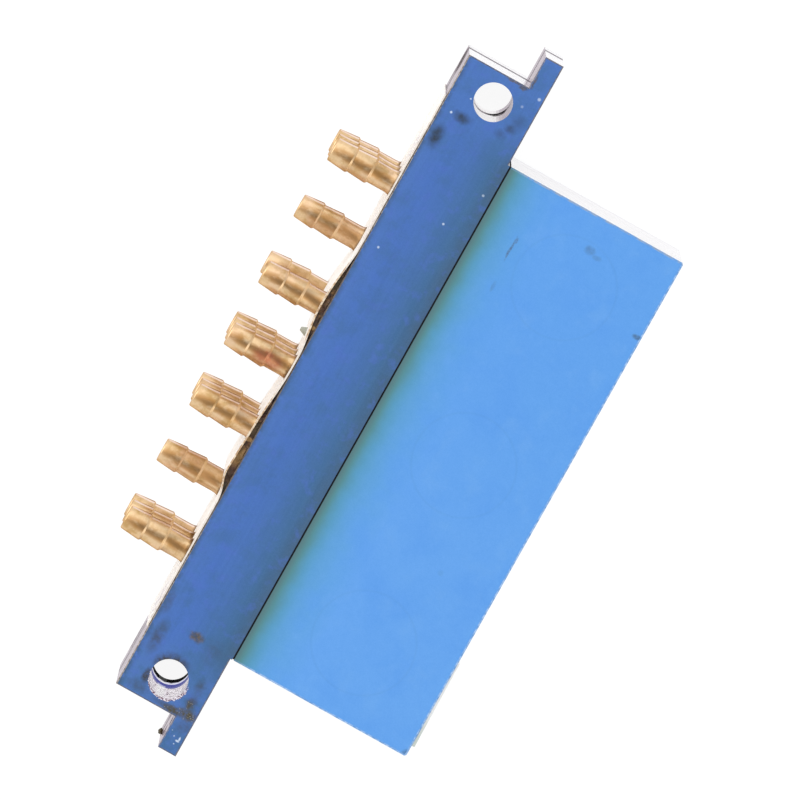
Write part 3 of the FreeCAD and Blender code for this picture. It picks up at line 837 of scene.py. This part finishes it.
# %% Turn the nipple
def turn_nipple(name):
    """One nipple on the line y = 0, z = 0."""
    piece = start_ring(name, 64, bore_radius, (bar_face_x + spigot_length, 0, 0))
    last_place, last_radius = -spigot_length, bore_radius
    for step_place, step_radius in nipple_steps:
        bpy.ops.mesh.extrude_edges_move(TRANSFORM_OT_translate={
            "value": ((last_place - step_place) * MM, 0, 0)})
        growth = step_radius / last_radius
        bpy.ops.transform.resize(value=(1, growth, growth),
                                 center_override=((bar_face_x - step_place) * MM, 0, 0))
        last_place, last_radius = step_place, step_radius
    close_mesh()
    apply_modifier(piece, "BEVEL", width=0.03 * MM, segments=2, limit_method="ANGLE",
                   angle_limit=math.radians(30))
    smooth(40)
    return piece


pattern_nipple = turn_nipple("nipple_pattern")
print(f"one nipple of {len(pattern_nipple.data.polygons)} faces")

# %% Copy the nipple to every port
port_pitch = 8
row_heights = {"top": 18.3, "middle": 10.3, "bottom": 2.3}
row_columns = {"top": (1, 3, 4, 5, 7), "middle": (1, 2, 4, 5, 6, 7), "bottom": (1, 3, 4, 5, 7)}
for row, columns in row_columns.items():
    for column in columns:
        copy = bpy.data.objects.new(f"nipple_{row}_{column}", pattern_nipple.data.copy())
        bpy.context.scene.collection.objects.link(copy)
        place = Vector((0, (4 - column) * port_pitch, row_heights[row])) * MM
        copy.data.transform(Matrix.Translation(place))
        copy.data.materials.append(brass_finish)
        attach(copy, "block")
        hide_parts(f"hose_nipple_{row}_{column}")
    print(f"{row} row: {len(columns)} nipples")
bpy.data.objects.remove(pattern_nipple)

# %% [markdown]
# ## The lifted sheet
# A thin cream sheet was glued to the nipple face. It still lies flat along most of the bar, but it
# has let go in two bows, one by the third nipple and one from the fourth to the sixth. Its edge is
# traced as a chain of points, extruded across the bar's depth, given a slight ripple and its
# thickness, and punched with a round hole for every nipple. A cloth simulation makes bows too, but
# not these two: the sheet is stiff, and its line is read from the picture.

# %% Line of the sheet
sheet_ends = (35.7, -33.5)
sheet_low_z, sheet_top_z = 0.15, 20.45
sheet_thickness = 0.19
sheet_line = [
    (35.7, -5), (15, -5), (14.1, -5.1), (13, -5.24), (11.8, -5.38), (10.7, -5.5), (9.5, -5.58),
    (8.4, -5.63), (7.3, -5.62), (6.1, -5.52), (5, -5.39), (3.9, -5.22), (3, -5.08), (2, -5),
    (-1.2, -5), (-2.4, -5.08), (-4.1, -5.24), (-5.8, -5.4), (-7, -5.49), (-8.1, -5.54),
    (-9.2, -5.57), (-10.3, -5.63), (-12, -5.71), (-13.2, -5.77), (-14, -5.8), (-14.5, -5.66),
    (-15.1, -5.44), (-15.7, -5.23), (-16.3, -5.07), (-16.8, -5), (-33.5, -5),
]


def line_x(y):
    """The sheet's inner side at a place along the bar, eased between the measured points."""
    for (y_high, x_high), (y_low, x_low) in zip(sheet_line, sheet_line[1:]):
        if y >= y_low:
            share = (y_high - y) / (y_high - y_low)
            return x_high + (x_low - x_high) * share
    return sheet_line[-1][1]


def smooth_line_x(y):
    """The same with its corners rounded off, by an average over a short stretch."""
    samples = [line_x(y + offset * 0.15) for offset in range(-3, 4)]
    return min(sum(samples) / len(samples), bar_face_x)


print(f"sheet line of {len(sheet_line)} points")

# %% Chains, holes and lumps
punch_depth = 6


def trace_chain(name, points):
    """A chain of points in the plane of the first one, as a new open mesh in edit mode."""
    deselect()
    bpy.ops.mesh.primitive_plane_add(size=MM, location=metres(points[0]))
    chain = settle(name)
    edit_all()
    bpy.ops.mesh.merge(type="CENTER")
    for last, this in zip(points, points[1:]):
        step = [(b - a) * MM for a, b in zip(last, this)]
        bpy.ops.mesh.extrude_vertices_move(TRANSFORM_OT_translate={"value": step})
    bpy.ops.mesh.select_all(action="SELECT")
    return chain


def punch(piece, places, radius):
    """Cut round holes along X through a piece, one for each (y, z)."""
    for y, z in places:
        deselect()
        bpy.ops.mesh.primitive_cylinder_add(
            vertices=48, radius=radius * MM, depth=punch_depth * MM,
            location=metres((bar_face_x, y, z)), rotation=(0, math.radians(90), 0))
        cutter = bpy.context.object
        deselect()
        apply_modifier(piece, "BOOLEAN", object=cutter, operation="DIFFERENCE", solver="EXACT")
        bpy.data.objects.remove(cutter)


def push_out(piece, name, size, strength, rest, direction="NORMAL"):
    """Displace a piece by clouds of one size. Where they are as bright as rest, it stays put."""
    clouds = bpy.data.textures.new(name, "CLOUDS")
    clouds.noise_scale = size * MM
    clouds.noise_depth = 2
    apply_modifier(piece, "DISPLACE", texture=clouds, strength=strength * MM, mid_level=rest,
                   direction=direction, texture_coords="LOCAL")


print("chains, holes and lumps ready")

# %% Make the sheet
step_along = 0.4
steps = round((sheet_ends[0] - sheet_ends[1]) / step_along)
stations = [sheet_ends[0] - index * step_along for index in range(steps + 1)]
sheet = trace_chain("port_sheet_paper", [(smooth_line_x(y), y, sheet_low_z) for y in stations])
rise_steps = 40
rise = (sheet_top_z - sheet_low_z) / rise_steps
for _ in range(rise_steps):
    bpy.ops.mesh.extrude_edges_move(TRANSFORM_OT_translate={"value": (0, 0, rise * MM)})
bpy.ops.object.mode_set(mode="OBJECT")
push_out(sheet, "sheet_ripple", 5, -0.07, 0, "X")
apply_modifier(sheet, "SOLIDIFY", thickness=sheet_thickness * MM, offset=-1, use_even_offset=True)
bpy.ops.object.mode_set(mode="EDIT")
close_mesh()
xs = [vertex.co.x / MM for vertex in sheet.data.vertices]
print(f"sheet from x {min(xs):.2f} to {max(xs):.2f} mm")
port_places = [((4 - column) * port_pitch, row_heights[row])
               for row, columns in row_columns.items() for column in columns]
pin_place = (3.8, row_heights["middle"])
punch(sheet, port_places, flange_radius + 0.13)
punch(sheet, [pin_place], 0.68)
smooth(35)
print(f"sheet has {len(sheet.data.polygons)} faces")

# %% [markdown]
# ## Paper with a cut edge
# The picture shows little of the sheet but its cut edge, which is tan, most of all in the bows,
# where adhesive has soaked in. Grime is rubbed into its outer side in three places. The direction
# of each face tells the cut edge from the flat side, so the edge needs no material of its own.

# %% Finish of the sheet
sheet_finish, shader, place = new_finish("cream_sheet")
x = axes(place)[0]
fibre = grain(stretch(place, (1, 0.5, 1)), 0.35, 4, 0.65)
shade = mix(fibre, (255, 253, 250), (247, 241, 235))
foxing = patches(place, 2.2, 0.55, 0.75, 4, 0.6)
shade = mix(foxing, shade, (226, 210, 192), 0.22)
_, _, facing = face_direction(shader)
cut_edge = fade(facing, 0.5, 0.8)
in_bow = fade(x, -5.28, -5.42)
soaked = patches(place, 0.5, 0.38, 0.6, 4, 0.65)
edge_tan = mix(soaked, (242, 224, 198), (190, 154, 116))
shade = mix(times(cut_edge, mix_number(in_bow, 0.35, 1)), shade, edge_tan)
grime_and_glint = marks(jitter(place, 1.6, 0.8), [
    ((-5.2, 28.4, 15), (2, 4.2, 10), 1), ((-5.2, -30.6, 14), (2, 4.6, 12), 1),
    ((-5.2, 18.5, 17.5), (2, 3, 6), 0.6),
], 0.1)
scribble = patches(stretch(place, (1, 1.6, 0.45)), 0.5, 0.46, 0.6, 4, 0.7)
shade = mix(times(grime_and_glint, scribble), shade, (160, 148, 162), 0.8)
dress(shader, shade, 0.6)
bump(shader, fibre, 0.02)
sheet.data.materials.append(sheet_finish)
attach(sheet, "block")
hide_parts("port_sheet")
print("sheet finished")

# %% [markdown]
# ## The old adhesive
# What fills the bows is old adhesive: a brown, cracked, glossy mass. Each pad is traced along the
# sheet's inside, closed along the bar, raised to the bar's depth, then remeshed into small even
# faces so that noise can push it into lumps. A plain extrusion would look like a machined wedge.
# Its colour runs from near black to gold along one noise, as thick and thin glue does.

# %% Make the adhesive pads
sheet_overlap, bar_overlap = 0.04, 0.02
pad_low_z, pad_height = 0.3, 19.95


def adhesive_pad(name, y_high, y_low):
    """The lump of adhesive under one bow, between two places along the bar."""
    count = round((y_high - y_low) / step_along)
    between = [y_high - (y_high - y_low) * index / count for index in range(1, count)]
    outline = [(bar_face_x + bar_overlap, y_high, pad_low_z)]
    outline += [(smooth_line_x(y) - sheet_overlap, y, pad_low_z) for y in between]
    outline += [(bar_face_x + bar_overlap, y_low, pad_low_z)]
    pad = trace_chain(name, outline)
    bpy.ops.mesh.edge_face_add()
    bpy.ops.mesh.extrude_region_move(TRANSFORM_OT_translate={"value": (0, 0, pad_height * MM)})
    close_mesh()
    punch(pad, port_places, flange_radius + 0.1)
    punch(pad, [pin_place], 0.6)
    apply_modifier(pad, "REMESH", mode="VOXEL", voxel_size=0.11 * MM)
    push_out(pad, name + "_lumps", 0.9, 0.9, 0.72, "Z")
    push_out(pad, name + "_crumbs", 0.3, 0.1, 0.5)
    smooth(60)
    return pad


pads = [adhesive_pad("adhesive_upper", 14.4, 2.4), adhesive_pad("adhesive_lower", -1.6, -16.5)]
print("adhesive pads:", [len(pad.data.polygons) for pad in pads])

# %% Finish of the adhesive
adhesive_finish, shader, place = new_finish("brown_adhesive_mass")
lumps = grain(jitter(place, 0.6, 0.3), 0.9, 5, 0.68)
shade = ramp(lumps, [
    (0.25, (30, 18, 14)), (0.44, (56, 36, 24)), (0.55, (84, 58, 34)), (0.65, (138, 102, 56)),
    (0.78, (206, 168, 104)),
])
reddish = patches(place, 2, 0.5, 0.66)
shade = mix(reddish, shade, (84, 38, 30), 0.5)
olive = marks(jitter(place, 1, 0.4), [
    ((-5.3, 11, 20), (1.5, 1.4, 30), 0.6), ((-5.4, -8, 20), (1.5, 1.2, 30), 0.6),
    ((-5.3, -15.6, 20), (1.5, 0.8, 30), 0.6), ((2.4, -44.35, 10), (1, 1, 1.2), 0.9),
])
shade = mix(olive, shade, (70, 62, 34))
golden = marks(jitter(place, 0.8, 0.3), [
    ((-5.4, 5.3, 20), (1.5, 0.35, 30), 0.8), ((-5.4, -9.4, 20), (1.5, 0.35, 30), 0.8),
    ((-5.5, -11.8, 20), (1.5, 1.6, 30), 0.55),
])
shade = mix(golden, shade, (176, 138, 82))
dress(shader, shade, mix_number(lumps, 0.25, 0.6))
bump(shader, lumps, 0.05)
for pad in pads:
    pad.data.materials.append(adhesive_finish)
    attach(pad, "block")
    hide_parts("sheet_adhesive")
print("adhesive finished")

# %% [markdown]
# ## Small pieces
# Two small things break an edge in the picture. The locating pin's nose is a disc, extruded twice
# and narrowed at its end. The crumb of dried adhesive on the lower tab is a ball that noise has
# pushed out of shape. A lump modelled point by point would take longer and look planned.

# %% Locating pin
pin_radius, pin_nose_radius, pin_shoulder, pin_reach, pin_depth = 0.55, 0.22, 0.4, 1.2, 2
pin = start_ring("locating_pin_nose", 32, pin_radius, (bar_face_x + pin_depth, *pin_place), "NGON")
for length in (pin_depth + pin_shoulder, pin_reach - pin_shoulder):
    bpy.ops.mesh.extrude_region_move(TRANSFORM_OT_translate={"value": (-length * MM, 0, 0)})
narrowing = pin_nose_radius / pin_radius
bpy.ops.transform.resize(value=(1, narrowing, narrowing),
                         center_override=metres((bar_face_x - pin_reach, *pin_place)))
close_mesh()
apply_modifier(pin, "BEVEL", width=0.08 * MM, segments=3, limit_method="ANGLE",
               angle_limit=math.radians(20))
smooth(40)
pin_finish = plain_finish("grey_green_plastic", 0.3, ((190, 192, 178), (150, 154, 142)),
                          (0.5, 0.7), 0.01)
pin.data.materials.append(pin_finish)
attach(pin, "block")
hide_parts("locating_pin")
print("pin modelled")

# %% Crumb on the lower tab
crumb_place = (2.42, -44.35, 10)
crumb_radius = 0.28
deselect()
bpy.ops.mesh.primitive_ico_sphere_add(subdivisions=4, radius=crumb_radius * MM,
                                      location=metres(crumb_place), scale=(0.8, 1.2, 1.5))
crumb = settle("dried_crumb")
push_out(crumb, "crumb_lumps", 0.4, 0.3, 0.5)
smooth(60)
crumb.data.materials.append(adhesive_finish)
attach(crumb, "block")
print(f"crumb of {len(crumb.data.polygons)} faces")

# %% [markdown]
# ## Rubber in the joint
# The gasket shows as a black line between the bar and the housing, and a bead of it has been
# squeezed out at each end. A bead is less than half a millimetre wide, so a bevelled cube does
# where a swept round section would cost more faces and show nothing more.

# %% Finish of the rubber pieces
gasket_finish = plain_finish("black_rubber_sheet", 0.25, ((14, 15, 17), (38, 40, 42)), (0.6, 0.85),
                             0.02)
print("rubber finish made")

# %% Beads at the two ends of the joint
bead_low_x, bead_high_x, bead_inner_y, bead_outer_y = 5.22, 5.38, 31.7, 32.12
bead_length = 19.9
for name, side in (("joint_bead_upper", 1), ("joint_bead_lower", -1)):
    deselect()
    middle = ((bead_low_x + bead_high_x) / 2, side * (bead_inner_y + bead_outer_y) / 2, face_z / 2)
    sides = (bead_high_x - bead_low_x, bead_outer_y - bead_inner_y, bead_length)
    bpy.ops.mesh.primitive_cube_add(size=MM, location=metres(middle), scale=sides)
    bead = settle(name)
    apply_modifier(bead, "BEVEL", width=0.06 * MM, segments=3)
    bead.data.materials.append(gasket_finish)
    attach(bead, "block")
print("two beads laid")

# %% [markdown]
# ## Sealed hairline round each plug
# Each plug is flush with the housing, and lacquer fills the gap round it, so that only a faint
# circle shows. A circle is placed from the plug's own box in the frame, widened into a flat ring
# and extruded downwards. It lies a thousandth of a millimetre below both faces, so that it shows
# in the gap and nowhere else. A disc over the whole plug would hide the circle.

# %% Seal the plugs
seal_overlap, seal_depth, seal_dip = 0.03, 0.3, 0.001


def seal_ring(number):
    """A fine flat ring that closes the gap between one plug and its bore."""
    low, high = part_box(f"cell_plug_{number}")
    plug_radius = (high[0] - low[0]) / 2
    inner_radius = plug_radius - seal_overlap * MM
    centre = ((low[0] + high[0]) / 2, (low[1] + high[1]) / 2, high[2] - seal_dip * MM)
    deselect()
    bpy.ops.mesh.primitive_circle_add(vertices=128, radius=inner_radius, location=centre)
    ring = settle(f"plug_seal_{number}")
    edit_all()
    bpy.ops.mesh.extrude_edges_move()
    growth = (plug_radius + seal_overlap * MM) / inner_radius
    bpy.ops.transform.resize(value=(growth, growth, 1), center_override=centre)
    bpy.ops.mesh.select_all(action="SELECT")
    bpy.ops.mesh.extrude_region_move(TRANSFORM_OT_translate={"value": (0, 0, -seal_depth * MM)})
    close_mesh()
    ring.data.materials.append(light_finish)
    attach(ring, "block")
    return ring


seals = [seal_ring(number) for number in (1, 2, 3)]
print("seal rings:", [len(ring.data.polygons) for ring in seals])

# %% [markdown]
# ## Finishes of the carried solids
# Screws, seats, guides, poppets, diaphragms and the clear film keep their measured solids, because
# nothing on them is too lively for a plain solid. The screws are brushed, zinc-plated steel, the
# seats brass, the guides white acetal, the poppets and diaphragms rubber: two shades and one cloud
# of noise each. The film has a little haze, a thin glossy coat and a greyer lower end.

# %% Steel, seat brass and acetal
steel_finish = plain_finish("zinc_plated_steel", 0.3, ((168, 170, 172), (206, 206, 204)),
                            (0.25, 0.45), 0.004, metal=1, factors=(0.5, 4, 4))
seat_finish = plain_finish("seat_brass", 0.5, ((222, 184, 120), (196, 150, 88)),
                           (0.2, 0.4), 0.004, metal=1)
acetal_finish = plain_finish("white_acetal", 0.8, ((236, 236, 230), (222, 222, 214)),
                             (0.35, 0.5), 0.004, detail=2)
print("three plain finishes")

# %% Clear film
film_finish, shader, place = new_finish("clear_film")
haze = grain(place, 0.6)
shade = mix(haze, (255, 255, 255), (248, 252, 250))
shade = mix(fade(axes(place)[1], -26, -30), shade, (214, 224, 218))
dress(shader, shade, mix_number(haze, 0.2, 0.35))
shader.inputs["Transmission Weight"].default_value = 0.05
shader.inputs["Coat Weight"].default_value = 0.6
shader.inputs["Coat Roughness"].default_value = 0.12
bump(shader, haze, 0.01)
print("film finish made")

# %% Lay the finishes on
def paint(name, finish):
    """Give a carried solid one finish, and no other."""
    materials = nodes[name].data.materials
    materials.clear()
    materials.append(finish)


paint("base_front_plate", front_finish)
paint("base_rear_plate", rear_finish)
paint("base_middle_plate", middle_finish)
paint("valve_housing", light_finish)
paint("housing_gasket", gasket_finish)
paint("housing_screws", steel_finish)
paint("side_film", film_finish)
for number in (1, 2, 3):
    paint(f"cell_plug_{number}", light_finish)
    paint(f"lower_seat_{number}", seat_finish)
    paint(f"upper_seat_{number}", seat_finish)
    paint(f"poppet_guide_{number}", acetal_finish)
    paint(f"valve_poppet_{number}", gasket_finish)
    paint(f"pilot_diaphragm_{number}", gasket_finish)
print("all carried solids painted")
